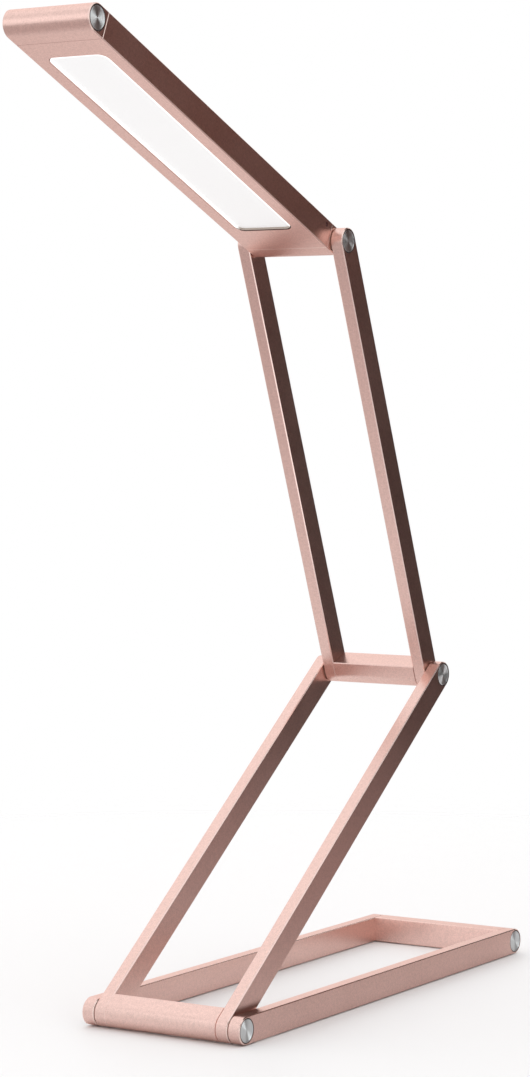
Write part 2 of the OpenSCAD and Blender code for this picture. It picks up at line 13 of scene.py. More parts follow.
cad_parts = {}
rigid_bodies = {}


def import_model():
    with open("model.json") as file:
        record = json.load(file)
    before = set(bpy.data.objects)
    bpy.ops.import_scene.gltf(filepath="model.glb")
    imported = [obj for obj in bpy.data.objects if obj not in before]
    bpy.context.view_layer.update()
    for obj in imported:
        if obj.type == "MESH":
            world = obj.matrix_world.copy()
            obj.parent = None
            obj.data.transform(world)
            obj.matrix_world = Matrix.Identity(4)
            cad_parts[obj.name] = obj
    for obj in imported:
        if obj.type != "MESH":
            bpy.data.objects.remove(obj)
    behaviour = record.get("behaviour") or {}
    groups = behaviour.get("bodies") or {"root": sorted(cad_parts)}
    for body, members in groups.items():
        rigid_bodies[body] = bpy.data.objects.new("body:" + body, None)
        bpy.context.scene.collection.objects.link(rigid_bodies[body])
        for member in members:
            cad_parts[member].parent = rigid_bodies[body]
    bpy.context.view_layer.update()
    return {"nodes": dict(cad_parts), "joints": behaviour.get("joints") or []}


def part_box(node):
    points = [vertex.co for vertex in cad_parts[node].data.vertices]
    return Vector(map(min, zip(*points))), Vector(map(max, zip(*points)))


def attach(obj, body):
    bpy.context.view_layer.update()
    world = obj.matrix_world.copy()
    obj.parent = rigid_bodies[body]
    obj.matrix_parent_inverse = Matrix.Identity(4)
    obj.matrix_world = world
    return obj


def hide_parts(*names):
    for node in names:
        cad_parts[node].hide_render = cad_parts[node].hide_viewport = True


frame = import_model()

bl_info = {
    "name": "Folding Desk Lamp",
    "version": (1, 0, 0),
    "blender": (4, 5, 0),
    "location": "View3D > Sidebar > Desk Lamp",
    "description": "Finishes, turned discs, studio and camera of a folding desk lamp",
    "category": "Object",
}

FLUSH = 1e-6
TURNING_MAP = "turning"
MAP_SCALE = 100

# The photo's frame, in pixels: the camera's lens is worked out for its long side.
PHOTO_WIDTH = 530
PHOTO_HEIGHT = 1077
SENSOR = 36.0
CAMERA_RANGE = (0.05, 50)


# ---- What the frame says ----

def joint_place(name):
    """Axis point of a hinge, in metres."""
    return Vector(next(j["pos_m"] for j in frame["joints"] if j["name"] == name))


def box_centre(node):
    low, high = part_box(node)
    return (low + high) / 2


def box_size(node):
    low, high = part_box(node)
    return high - low


def head_directions():
    """From the head's hinge to its nose, and the direction that the head shines in."""
    along = box_centre("nose_cover_disc") - joint_place("head_hinge")
    along = Vector((along.x, 0, along.z)).normalized()
    return along, Vector((-along.z, 0, along.x))


def reach(node, direction):
    """Least and greatest distance of a node's points along a direction."""
    places = [direction.dot(corner.co) for corner in frame["nodes"][node].data.vertices]
    return min(places), max(places)


DISC_SIZE = box_size("nose_cover_disc")
DISC_RADIUS = DISC_SIZE.x / 2
DISC_DEPTH = DISC_SIZE.y
FRAME_METAL = [
    "base_bar_left", "base_bar_right", "base_rear_bar",
    "lower_bar_left", "lower_bar_right", "lower_cross_bar",
    "upper_bar_left", "upper_bar_right", "upper_cross_bar",
    "hinge_cap", "nose_cap"]
STEEL_PARTS = [
    "base_screws", "base_dowels", "base_hinge_screws", "lower_dowels",
    "mid_hinge_screws", "upper_dowels", "head_hinge_screws", "button_clip",
    "base_spring_washers", "mid_spring_washers", "head_spring_washers"]
FRICTION_WASHERS = [
    "base_friction_washers", "mid_friction_washers", "head_friction_washers"]
FOOT_PADS = ["front_foot_pads", "rear_foot_pad"]
PANEL_FINISHES = {
    "window_seal": "seal_foam", "light_guide": "clear_acrylic", "reflector": "white_film",
    "light_strip": "strip_lacquer", "light_emitters": "emitter_resin"}
ELECTRONIC_FINISHES = {
    "battery": "pouch_foil", "control_board": "board_lacquer", "charge_light": "tinted_lens",
    "button_switch": "switch_plastic", "head_wiring": "lead_sleeve", "foam_pad": "foam"}


# ---- Fixed numbers of the finishes ----

# Blasted grain: the coarse pits' share of the number of pits, the weight of either size, and
# the heights that the speckle spans. SMOOTH_GRAIN is what machining leaves of it. The broad
# patches that handling leaves follow.
COARSE_PITS = 0.36
FINE_WEIGHT = 0.6
COARSE_WEIGHT = 0.4
SPECKLE_SPAN = (0.34, 0.66)
SMOOTH_GRAIN = 0.15
PATCHES_PER_METRE = 22.0
PATCH_SPAN = (0.35, 0.65)

# Sideways part of the normal where a chamfer starts and ends.
CHAMFER_START = (0.30, 0.55)
CHAMFER_END = (0.85, 0.97)

# How a finish varies over its face: shares of its colour and of its roughness, and steps of
# roughness where it is worn.
SPECKLE_SHADES = (0.87, 1.11)
GLOSS_SPREAD = (0.9, 1.1)
WEAR = (-0.02, 0.03)

# The window's painted shade, at its hinge end, stops this far inside the head's face. The
# diffuser's rim starts at this share of its height, and its painted shade starts to fade at
# this share of its length.
BELOW_FACE = 0.00004
RIM_SHARE = 0.93
SHADE_START = 0.4

STEEL_COLOUR = (0.56, 0.57, 0.60)
STEEL_ROUGHNESS = (0.22, 0.34)
STEEL_GRAIN = (0.0003, 0.000004)

# Finish of a moulded, lacquered or foil piece. grain and depth are in metres.
Moulding = namedtuple("Moulding", "colour roughness grain depth variation", defaults=(0.05,))
MOULDINGS = {
    "waxy_polymer": Moulding((0.80, 0.77, 0.68), 0.4, 0.0003, 0.000003),
    "pad_rubber": Moulding((0.62, 0.60, 0.58), 0.75, 0.0002, 0.00001),
    "seal_foam": Moulding((0.030, 0.026, 0.025), 0.95, 0.0005, 0.00003, 0.2),
    "clear_acrylic": Moulding((0.9, 0.92, 0.93), 0.1, 0.0008, 0.000001, 0.01),
    "white_film": Moulding((0.93, 0.93, 0.93), 0.5, 0.0004, 0.000004, 0.01),
    "strip_lacquer": Moulding((0.85, 0.85, 0.82), 0.35, 0.0003, 0.000004, 0.02),
    "emitter_resin": Moulding((0.85, 0.75, 0.25), 0.25, 0.0003, 0.000003, 0.04),
    "pouch_foil": Moulding((0.62, 0.62, 0.64), 0.4, 0.0012, 0.00002),
    "board_lacquer": Moulding((0.03, 0.20, 0.09), 0.3, 0.0006, 0.00001),
    "tinted_lens": Moulding((0.060, 0.014, 0.011), 0.6, 0.0004, 0.000002),
    "switch_plastic": Moulding((0.05, 0.05, 0.05), 0.5, 0.0003, 0.00001),
    "lead_sleeve": Moulding((0.45, 0.03, 0.03), 0.4, 0.0004, 0.000006),
    "foam": Moulding((0.06, 0.06, 0.06), 0.95, 0.0005, 0.00008, 0.3)}


# ---- Fixed numbers of the stage ----

# An area lamp in metres and watts: a disc where height is None. Where receivers is set, only
# the pieces whose names start with it are lit.
AreaLamp = namedtuple(
    "AreaLamp", "name place target width height power receivers", defaults=(None,))
LAMP_FOOT = (0, 0, 0.15)
LAMP_HEART = (0, 0, 0.30)
AREA_LAMPS = [
    AreaLamp("key_lamp", (0.20, 0.75, 1.30), LAMP_FOOT, 1.6, None, 1.1),
    AreaLamp("nose_lamp", (-0.55, 0.29, 0.48), LAMP_FOOT, 0.3, None, 0.07),
    AreaLamp("back_lamp", (1.15, 0.95, 0.70), LAMP_FOOT, 1.2, None, 0.45),
    AreaLamp("nose_disc_lamp", (0.22, -0.68, 0.46), LAMP_HEART, 0.40, 0.26, 0.60,
             "button_cap"),
    AreaLamp("elbow_disc_lamp", (0.218, -0.173, 0.054), (0.093, -0.037, 0.132),
             0.10, 0.10, 0.034, "turned_disc_lower_arm"),
    AreaLamp("base_disc_lamp", (0.22, -0.68, 0.28), LAMP_HEART, 0.45, 0.60, 1.3,
             "turned_disc_base"),
    AreaLamp("edge_lamp", (-0.14, -0.44, 0.01), (-0.14, -0.44, 1), 0.40, 0.40, 0.24,
             "upper_bar_left"),
    AreaLamp("rear_lamp", (-0.20, 0.18, 0.12), (0.147, 0, 0.01), 0.30, 0.30, 0.62,
             "base_rear_bar")]

# Strength of the white background as dull faces see it, and the table top.
ROOM_LIGHT = 1.13
TABLE_SIDES = 96
TABLE_ROUGHNESS = 0.55
TABLE_GLOSS = 0.2

# The dark flags' cloth, and the warmer band between these heights, soft at both ends.
CLOTH = (0.050, 0.036, 0.033)
CLOTH_BAND = (0.125, 0.062, 0.050)
BAND_START = (0.30, 0.42)
BAND_END = (0.52, 0.68)

# Metal mirrors a warm shade instead of the white table on these sides. Each side is a
# direction on the table with the distances along it between which the shade grows. It also
# grows with the distance from the lamp. The table itself fades out from FADE_START of its
# fading distance.
WARM_SHADE = (0.13, 0.030, 0.018)
TO_FLAG = Vector((0.93, 0.36, 0))
TO_FLAG_SPAN = (-0.20, 0.0)
BESIDE = Vector((0, -1, 0))
BESIDE_SPAN = (0.0, 0.16)
LEAST_FLAG_DIM = 0.05
IN_FRONT = Vector((-0.67, 0.74, 0))
IN_FRONT_SPAN = (0.06, 0.42)
DISTANCE_SPAN = (0.15, 0.60)
FADE_START = 0.35


# ---- Sizes and colours that a user would change ----

class LampMetalSettings(bpy.types.PropertyGroup):
    colour: FloatVectorProperty(
        name="Anodised colour",
        description="Rose-gold colour of the frames and the head",
        subtype="COLOR", size=3, min=0, max=1, default=(0.80, 0.565, 0.51))
    edge_colour: FloatVectorProperty(
        name="Cut edge colour", description="Colour of the bright machined chamfers",
        subtype="COLOR", size=3, min=0, max=1, default=(0.93, 0.73, 0.67))
    # Painted shade: a dark colour on the window's cut edge at its hinge end, where the recess
    # is in shadow.
    window_shade_colour: FloatVectorProperty(
        name="Window edge colour",
        description="Colour of the dark cut edge of the light window",
        subtype="COLOR", size=3, min=0, max=1, default=(0.16, 0.09, 0.075))
    reveal: FloatProperty(
        name="Window edge length",
        description="How far that dark edge reaches from the window's hinge end",
        subtype="DISTANCE", unit="LENGTH", min=0, max=0.01, default=0.003)
    # Painted highlight: a pale line on the head's lower face along the hinge cap's seam, where
    # the seam catches the light.
    seam_highlight_colour: FloatVectorProperty(
        name="Seam colour", description="Colour of the bare edge at the seam of the hinge cap",
        subtype="COLOR", size=3, min=0, max=1, default=(1.0, 0.86, 0.80))
    seam: FloatProperty(
        name="Seam width", description="Width of that bare edge",
        subtype="DISTANCE", unit="LENGTH", min=0, max=0.002, default=0.0004)
    graze_colour: FloatVectorProperty(
        name="Grazing tint",
        description="Tint of what the metal mirrors at a grazing angle",
        subtype="COLOR", size=3, min=0, max=1, default=(0.93, 0.80, 0.76))
    roughness: FloatProperty(
        name="Roughness", description="Roughness of the blasted faces",
        min=0.05, max=1, default=0.30)
    edge_roughness: FloatProperty(
        name="Edge roughness", description="Roughness of the machined chamfers",
        min=0.05, max=1, default=0.22)
    grain: FloatProperty(
        name="Grain", description="Size of one pit of the blasted face",
        subtype="DISTANCE", unit="LENGTH", min=0.00002, max=0.002, default=0.0004)
    grain_depth: FloatProperty(
        name="Grain depth", description="Depth of the pits of the blasted face",
        subtype="DISTANCE", unit="LENGTH", min=0, max=0.0005, default=0.000024)


class LampDiscSettings(bpy.types.PropertyGroup):
    colour: FloatVectorProperty(
        name="Turned metal", description="Colour of the turned discs",
        subtype="COLOR", size=3, min=0, max=1, default=(0.78, 0.83, 0.84))
    # Painted shade: the groove and seat of every disc are coloured dark, as their shadow.
    groove_shade_colour: FloatVectorProperty(
        name="Seat colour", description="Colour of a disc's dark seat and groove",
        subtype="COLOR", size=3, min=0, max=1, default=(0.035, 0.032, 0.032))
    radius: FloatProperty(
        name="Radius", description="Radius of a disc's seated part, as the frame gives it",
        subtype="DISTANCE", unit="LENGTH", min=0.001, max=0.02, default=DISC_RADIUS)
    depth: FloatProperty(
        name="Thickness", description="Thickness of a cover disc, as the frame gives it",
        subtype="DISTANCE", unit="LENGTH", min=0.0003, max=0.005, default=DISC_DEPTH)
    button_depth: FloatProperty(
        name="Button thickness", description="Thickness of the power button's disc",
        subtype="DISTANCE", unit="LENGTH", min=0.0005, max=0.005, default=0.0016)
    stem: FloatProperty(
        name="Stem radius", description="Radius of the power button's stem",
        subtype="DISTANCE", unit="LENGTH", min=0.0005, max=0.004, default=0.0016)
    gap: FloatProperty(
        name="Groove width", description="Width of the shadow groove around the turned face",
        subtype="DISTANCE", unit="LENGTH", min=0, max=0.001, default=0.00035)
    step: FloatProperty(
        name="Groove depth", description="Depth of the shadow groove",
        subtype="DISTANCE", unit="LENGTH", min=0, max=0.001, default=0.0005)
    edge: FloatProperty(
        name="Rim chamfer", description="Chamfer round a disc's rim",
        subtype="DISTANCE", unit="LENGTH", min=0, max=0.001, default=0.00012)
    rim: FloatProperty(
        name="Rim width", description="Width of the plain rim round the turned face",
        subtype="DISTANCE", unit="LENGTH", min=0, max=0.002, default=0.00022)
    dish: FloatProperty(
        name="Dish", description="Depth of the turned face below the rim",
        subtype="DISTANCE", unit="LENGTH", min=0, max=0.0005, default=0.00010)
    mark: FloatProperty(
        name="Mark pitch", description="Distance between two turning marks",
        subtype="DISTANCE", unit="LENGTH", min=0.0001, max=0.001, default=0.00030)
    mark_depth: FloatProperty(
        name="Mark depth", description="Depth of a turning mark",
        subtype="DISTANCE", unit="LENGTH", min=0, max=0.0002, default=0.00004)
    roughness: FloatProperty(
        name="Roughness", description="Roughness of the turned face",
        min=0.05, max=1, default=0.36)
    streak: FloatProperty(
        name="Streak",
        description="How much the gloss spreads across the turning marks",
        subtype="FACTOR", min=0, max=1, default=1.0)
    scatter: FloatProperty(
        name="Scatter", description="Size of the fine grain between the turning marks",
        subtype="DISTANCE", unit="LENGTH", min=0.00002, max=0.001, default=0.00012)
    scatter_depth: FloatProperty(
        name="Scatter depth", description="Depth of that grain",
        subtype="DISTANCE", unit="LENGTH", min=0, max=0.0001, default=0.0000012)
    sides: IntProperty(
        name="Sides", description="Segments round a disc", min=24, max=192, default=96)
    smooth_angle: FloatProperty(
        name="Smooth angle", description="Edges that are sharper than this stay sharp",
        subtype="ANGLE", unit="ROTATION", default=math.radians(40))


class LampPanelSettings(bpy.types.PropertyGroup):
    diffuser: FloatVectorProperty(
        name="Diffuser", description="Colour of the milky diffuser",
        subtype="COLOR", size=3, min=0, max=1, default=(0.86, 0.86, 0.86))
    shade_colour: FloatVectorProperty(
        name="Shaded rim",
        description="Colour of the diffuser's rim at the hinge, which isn't lit",
        subtype="COLOR", size=3, min=0, max=1, default=(0.42, 0.35, 0.30))
    shade: FloatProperty(
        name="Shaded length",
        description="How far the shade reaches from the rim's hinge end",
        subtype="DISTANCE", unit="LENGTH", min=0, max=0.01, default=0.0030)
    rim_height: FloatProperty(
        name="Rim height", description="How far the rim stands above the lit face",
        subtype="DISTANCE", unit="LENGTH", min=0.0001, max=0.002, default=0.00075)
    # Partly painted light: the rim glows brighter than the lit face, which lights the walls
    # seen in the shadow gap round the diffuser.
    glow: FloatProperty(
        name="Glow", description="Light that the diffuser's rim gives off",
        min=0, max=20, default=0.55)
    face_glow: FloatProperty(
        name="Face glow", description="The sunk face's share of that light",
        subtype="FACTOR", min=0, max=1, default=0.18)
    roughness: FloatProperty(
        name="Roughness", description="Roughness of the diffuser",
        min=0.05, max=1, default=0.42)
    grain: FloatProperty(
        name="Grain", description="Size of the diffuser's fine grain",
        subtype="DISTANCE", unit="LENGTH", min=0.00002, max=0.002, default=0.0004)
    grain_depth: FloatProperty(
        name="Grain depth", description="Depth of that grain",
        subtype="DISTANCE", unit="LENGTH", min=0, max=0.0001, default=0.000003)


class LampStageSettings(bpy.types.PropertyGroup):
    camera: FloatVectorProperty(
        name="Camera", description="Place of the camera",
        subtype="TRANSLATION", unit="LENGTH", size=3, default=(-1.04458, -0.64785, 0.24961))
    camera_turn: FloatVectorProperty(
        name="Camera turn", description="Direction that the camera looks in",
        subtype="EULER", size=3,
        default=(math.radians(87.440), math.radians(-0.052), math.radians(-58.091)))
    focal_pixels: FloatProperty(
        name="Focal length", description="Focal length in pixels of the photo",
        min=200, max=20000, default=2954.4)
    floor_colour: FloatVectorProperty(
        name="Floor", description="Colour of the table top",
        subtype="COLOR", size=3, min=0, max=1, default=(0.86, 0.85, 0.85))
    floor_radius: FloatProperty(
        name="Floor radius", description="Radius of the table top",
        subtype="DISTANCE", unit="LENGTH", min=0.3, max=10, default=2.5)
    floor_fade: FloatProperty(
        name="Floor fade", description="Where the table top has faded into the background",
        subtype="DISTANCE", unit="LENGTH", min=0.3, max=10, default=0.75)
    floor_dim: FloatProperty(
        name="Floor dimming",
        description="Share by which metal mirrors the table's far parts darker",
        subtype="FACTOR", min=0, max=1, default=0.35)
    flag_dim: FloatProperty(
        name="Dimming beside the lamp",
        description="The same share on the side of the dark flags",
        subtype="FACTOR", min=0, max=1, default=0.71)
    front_dim: FloatProperty(
        name="Dimming in front",
        description="The same share on the side that the upper arm's front mirrors",
        subtype="FACTOR", min=0, max=1, default=0.50)
    flag: FloatVectorProperty(
        name="Flag", description="Foot of the dark studio flag",
        subtype="TRANSLATION", unit="LENGTH", size=3, default=(0.55, -0.44, 0))
    flag_turn: FloatProperty(
        name="Flag turn", description="Turn of the dark flag about the upright",
        subtype="ANGLE", unit="ROTATION", default=math.radians(-31))
    flag_size: FloatVectorProperty(
        name="Flag size", description="Width and height of the dark studio flag",
        subtype="XYZ_LENGTH", unit="LENGTH", size=2, default=(0.80, 1.4))
    side_flag: FloatVectorProperty(
        name="Side flag", description="Foot of the second dark flag, beside the first",
        subtype="TRANSLATION", unit="LENGTH", size=3, default=(-0.04, -0.90, 0))
    side_turn: FloatProperty(
        name="Side flag turn", description="Turn of the second dark flag about the upright",
        subtype="ANGLE", unit="ROTATION", default=math.radians(-92))
    side_size: FloatVectorProperty(
        name="Side flag size", description="Width and height of the second dark flag",
        subtype="XYZ_LENGTH", unit="LENGTH", size=2, default=(0.80, 0.65))


class LampSettings(bpy.types.PropertyGroup):
    metal: PointerProperty(type=LampMetalSettings)
    discs: PointerProperty(type=LampDiscSettings)
    panel: PointerProperty(type=LampPanelSettings)
    stage: PointerProperty(type=LampStageSettings)


# ---- Shader building ----

def new_node(tree, kind, links=None, **values):
    """Adds a node. values set its properties or unlinked inputs, links joins its inputs."""
    made = tree.nodes.new(kind)
    for name, value in values.items():
        if hasattr(made, name):
            setattr(made, name, value)
        else:
            made.inputs[name.replace("_", " ")].default_value = value
    for name, source in (links or {}).items():
        tree.links.new(source, made.inputs[name])
    return made


def maths(tree, operation, first, second=None, clamp=False):
    made = tree.nodes.new("ShaderNodeMath")
    made.operation = operation
    made.use_clamp = clamp
    for socket, value in zip(made.inputs, (first, second)):
        if value is None:
            continue
        if isinstance(value, (int, float)):
            socket.default_value = value
        else:
            tree.links.new(value, socket)
    return made.outputs[0]


def mapped(tree, value, low, high, to_low=0.0, to_high=1.0, smooth=False):
    """Map Range from low..high to to_low..to_high."""
    made = tree.nodes.new("ShaderNodeMapRange")
    made.interpolation_type = "SMOOTHSTEP" if smooth else "LINEAR"
    tree.links.new(value, made.inputs["Value"])
    for name, number in zip(("From Min", "From Max", "To Min", "To Max"),
                            (low, high, to_low, to_high)):
        made.inputs[name].default_value = number
    return made.outputs["Result"]


def mixed_colour(tree, share, first, second):
    """Mix of two colours, each a socket or a plain colour."""
    made = tree.nodes.new("ShaderNodeMix")
    made.data_type = "RGBA"
    tree.links.new(share, made.inputs["Factor"])
    for socket, value in ((made.inputs[6], first), (made.inputs[7], second)):
        if isinstance(value, bpy.types.NodeSocket):
            tree.links.new(value, socket)
        else:
            socket.default_value = (*value, 1)
    return made.outputs[2]


def mixed_shader(tree, share, first, second):
    made = tree.nodes.new("ShaderNodeMixShader")
    for socket, source in zip(made.inputs, (share, first, second)):
        tree.links.new(source, socket)
    return made.outputs[0]


def distance_along(tree, vector, direction):
    """Distance of a point along a fixed direction."""
    made = new_node(tree, "ShaderNodeVectorMath", {"Vector": vector}, operation="DOT_PRODUCT")
    made.inputs[1].default_value = direction
    return made.outputs["Value"]


def within(tree, value, low, high, soft=0.00002):
    """1 between low and high, and 0 beyond them."""
    rises = mapped(tree, value, low - soft, low)
    return maths(tree, "MULTIPLY", rises, mapped(tree, value, high, high + soft, 1.0, 0.0))


def noise(tree, vector, scale, detail=2.0, roughness=0.5):
    made = new_node(tree, "ShaderNodeTexNoise", {"Vector": vector})
    made.inputs["Detail"].default_value = detail
    made.inputs["Roughness"].default_value = roughness
    if isinstance(scale, bpy.types.NodeSocket):
        tree.links.new(scale, made.inputs["Scale"])
    else:
        made.inputs["Scale"].default_value = scale
    return made.outputs[0]


def new_group(name, inputs, outputs):
    """Empty shader group with named float or vector sockets, and its two end nodes."""
    tree = bpy.data.node_groups.new(name, "ShaderNodeTree")
    for socket, kind, value in inputs:
        made = tree.interface.new_socket(name=socket, in_out="INPUT", socket_type=kind)
        if value is not None:
            made.default_value = value
    for socket, kind in outputs:
        tree.interface.new_socket(name=socket, in_out="OUTPUT", socket_type=kind)
    return tree, tree.nodes.new("NodeGroupInput"), tree.nodes.new("NodeGroupOutput")


def blasted_grain_group():
    """Fine irregular pits at two sizes: their height, and a speckle for the colour."""
    tree, start, end = new_group(
        "Blasted Grain",
        [("Vector", "NodeSocketVector", None), ("Pits per metre", "NodeSocketFloat", 3500.0)],
        [("Height", "NodeSocketFloat"), ("Speckle", "NodeSocketFloat")])
    vector, pits = start.outputs["Vector"], start.outputs["Pits per metre"]
    fine = noise(tree, vector, pits, detail=1.0)
    coarse_scale = maths(tree, "MULTIPLY", pits, COARSE_PITS)
    coarse = noise(tree, vector, coarse_scale, detail=2.0, roughness=0.6)
    height = maths(tree, "ADD", maths(tree, "MULTIPLY", fine, FINE_WEIGHT),
                   maths(tree, "MULTIPLY", coarse, COARSE_WEIGHT))
    tree.links.new(height, end.inputs["Height"])
    tree.links.new(mapped(tree, height, *SPECKLE_SPAN), end.inputs["Speckle"])
    return tree


def cut_edge_group():
    """1 on the chamfers that face half sideways, 0 on the flat sides and the round tops."""
    tree, _, end = new_group("Cut Edge", [], [("Edge", "NodeSocketFloat")])
    normal = tree.nodes.new("ShaderNodeNewGeometry").outputs["True Normal"]
    parts = new_node(tree, "ShaderNodeSeparateXYZ", {"Vector": normal})
    sideways = maths(tree, "ABSOLUTE", parts.outputs["Y"])
    rises = mapped(tree, sideways, *CHAMFER_START, smooth=True)
    falls = mapped(tree, sideways, *CHAMFER_END, 1.0, 0.0, smooth=True)
    tree.links.new(maths(tree, "MULTIPLY", rises, falls), end.inputs["Edge"])
    return tree


def handling_group():
    """Broad soft patches, as hands and cloths leave on a metal face."""
    tree, start, end = new_group(
        "Handling", [("Vector", "NodeSocketVector", None)], [("Patches", "NodeSocketFloat")])
    broad = noise(
        tree, start.outputs["Vector"], PATCHES_PER_METRE, detail=3.0, roughness=0.6)
    tree.links.new(mapped(tree, broad, *PATCH_SPAN, smooth=True), end.inputs["Patches"])
    return tree


def group_node(tree, name, maker, links=None, **values):
    """Places a shared group, which is built the first time that it is asked for."""
    made = tree.nodes.new("ShaderNodeGroup")
    made.node_tree = bpy.data.node_groups.get(name) or maker()
    for socket, value in values.items():
        made.inputs[socket.replace("_", " ")].default_value = value
    for socket, source in (links or {}).items():
        tree.links.new(source, made.inputs[socket])
    return made


def start_material(name, colour, roughness, metallic=0.0):
    """New material with its tree, its Principled shader and its Object coordinates."""
    material = bpy.data.materials.new(name)
    material.use_nodes = True
    material.diffuse_color = (*colour, 1)
    tree = material.node_tree
    shader = tree.nodes["Principled BSDF"]
    shader.inputs["Base Color"].default_value = (*colour, 1)
    shader.inputs["Roughness"].default_value = roughness
    shader.inputs["Metallic"].default_value = metallic
    coordinates = tree.nodes.new("ShaderNodeTexCoord").outputs["Object"]
    return material, tree, shader, coordinates


def shared_material(name, maker, *settings):
    """Material that several steps use, made the first time that it is asked for."""
    return bpy.data.materials.get(name) or maker(*settings)


def shades(colour, *shares):
    """The colour at each of these shares of its lightness, up to white."""
    return [tuple(min(1.0, part * share) for part in colour) for share in shares]


def add_grain_bump(tree, shader, coordinates, size, depth, smooth=None):
    """Bump of the blasted grain, without it where smooth is 1; gives back its speckle."""
    grain = group_node(tree, "Blasted Grain", blasted_grain_group,
                       {"Vector": coordinates}, Pits_per_metre=1 / size)
    height = grain.outputs["Height"]
    if smooth:
        blasted = mapped(tree, smooth, 0, 1, 1.0, SMOOTH_GRAIN)
        height = maths(tree, "MULTIPLY", height, blasted)
    bump = new_node(tree, "ShaderNodeBump", {"Height": height}, Strength=1.0, Distance=depth)
    tree.links.new(bump.outputs["Normal"], shader.inputs["Normal"])
    return grain.outputs["Speckle"]


# ---- Finishes ----

def painted_window_shade(tree, coordinates, length):
    """Mask of painted shade: 1 on the cut edge of the light window near its hinge end, just
    below the head's lower face.
    """
    along, outwards = head_directions()
    start, _ = reach("window_seal", along)
    _, top = reach("window_seal", outwards)
    _, face = reach("head_tube", outwards)
    _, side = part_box("window_seal")
    inside = within(tree, distance_along(tree, coordinates, along), start, start + length)
    depth = within(
        tree, distance_along(tree, coordinates, outwards), top, face - BELOW_FACE)
    across = distance_along(tree, coordinates, Vector((0, 1, 0)))
    middle = within(tree, across, -side.y, side.y)
    return maths(tree, "MULTIPLY", maths(tree, "MULTIPLY", inside, depth), middle)


def cap_seam_highlight(tree, coordinates, width):
    """Mask of a painted highlight: 1 on the end of the head's tube at the hinge cap, on its
    lower face alone.
    """
    along, outwards = head_directions()
    end, _ = reach("head_tube", along)
    _, face = reach("head_tube", outwards)
    beside = within(tree, distance_along(tree, coordinates, along), end, end + width)
    below = within(tree, distance_along(tree, coordinates, outwards), face - width, face)
    return maths(tree, "MULTIPLY", beside, below)


def rose_anodised(settings, name="rose_anodised", window=False):
    """Blasted and anodised aluminium with bright machined chamfers."""
    colour = tuple(settings.colour)
    material, tree, shader, coordinates = start_material(
        name, colour, settings.roughness, metallic=1.0)
    shader.inputs["Specular Tint"].default_value = (*settings.graze_colour, 1)
    edge = group_node(tree, "Cut Edge", cut_edge_group).outputs["Edge"]
    speckle = add_grain_bump(
        tree, shader, coordinates, settings.grain, settings.grain_depth, edge)
    patches = group_node(tree, "Handling", handling_group, {"Vector": coordinates})
    face = mixed_colour(tree, speckle, *shades(colour, *SPECKLE_SHADES))
    finish = mixed_colour(tree, edge, face, settings.edge_colour)
    # Painted shade on the window's cut edge at its hinge end, and a painted highlight along the
    # hinge cap's seam.
    if window:
        finish = mixed_colour(
            tree, painted_window_shade(tree, coordinates, settings.reveal), finish,
            settings.window_shade_colour)
        finish = mixed_colour(
            tree, cap_seam_highlight(tree, coordinates, settings.seam), finish, settings.seam_highlight_colour)
    tree.links.new(finish, shader.inputs["Base Color"])
    worn = mapped(tree, patches.outputs["Patches"], 0, 1,
                  *(settings.roughness + step for step in WEAR))
    drop = maths(tree, "MULTIPLY", edge, settings.edge_roughness - settings.roughness)
    tree.links.new(maths(tree, "ADD", worn, drop), shader.inputs["Roughness"])
    return material


def turned_aluminium(settings):
    """Bright turned face with fine scatter between the turning marks."""
    material, tree, shader, coordinates = start_material(
        "turned_aluminium", tuple(settings.colour), settings.roughness, metallic=1.0)
    speckle = add_grain_bump(
        tree, shader, coordinates, settings.scatter, settings.scatter_depth)
    tree.links.new(
        mapped(tree, speckle, 0, 1, *(settings.roughness * share for share in GLOSS_SPREAD)),
        shader.inputs["Roughness"])
    outwards = new_node(tree, "ShaderNodeTangent", direction_type="UV_MAP", uv_map=TURNING_MAP)
    tree.links.new(outwards.outputs["Tangent"], shader.inputs["Tangent"])
    shader.inputs["Anisotropic"].default_value = settings.streak
    return material


def plated_steel():
    """Zinc plate on turned steel."""
    material, tree, shader, coordinates = start_material(
        "plated_steel", STEEL_COLOUR, sum(STEEL_ROUGHNESS) / 2, metallic=1.0)
    speckle = add_grain_bump(tree, shader, coordinates, *STEEL_GRAIN)
    tree.links.new(mapped(tree, speckle, 0, 1, *STEEL_ROUGHNESS), shader.inputs["Roughness"])
    return material


def moulded(name, finish):
    """Plastic, rubber or lacquer: a fine grain with a little colour variation."""
    material, tree, shader, coordinates = start_material(
        name, finish.colour, finish.roughness)
    speckle = add_grain_bump(tree, shader, coordinates, finish.grain, finish.depth)
    darker, lighter = shades(finish.colour, 1 - finish.variation, 1 + finish.variation)
    tree.links.new(mixed_colour(tree, speckle, darker, lighter), shader.inputs["Base Color"])
    tree.links.new(
        mapped(tree, speckle, 0, 1,
               *(min(1.0, finish.roughness * share) for share in GLOSS_SPREAD)),
        shader.inputs["Roughness"])
    return material


def dark_anodised(settings):
    """Painted shade: a dull dark colour on a turned disc's seat and groove, where the groove's
    shadow falls.
    """
    return moulded("dark_anodised", Moulding(
        tuple(settings.groove_shade_colour), roughness=0.45, grain=0.0002, depth=0.000004))


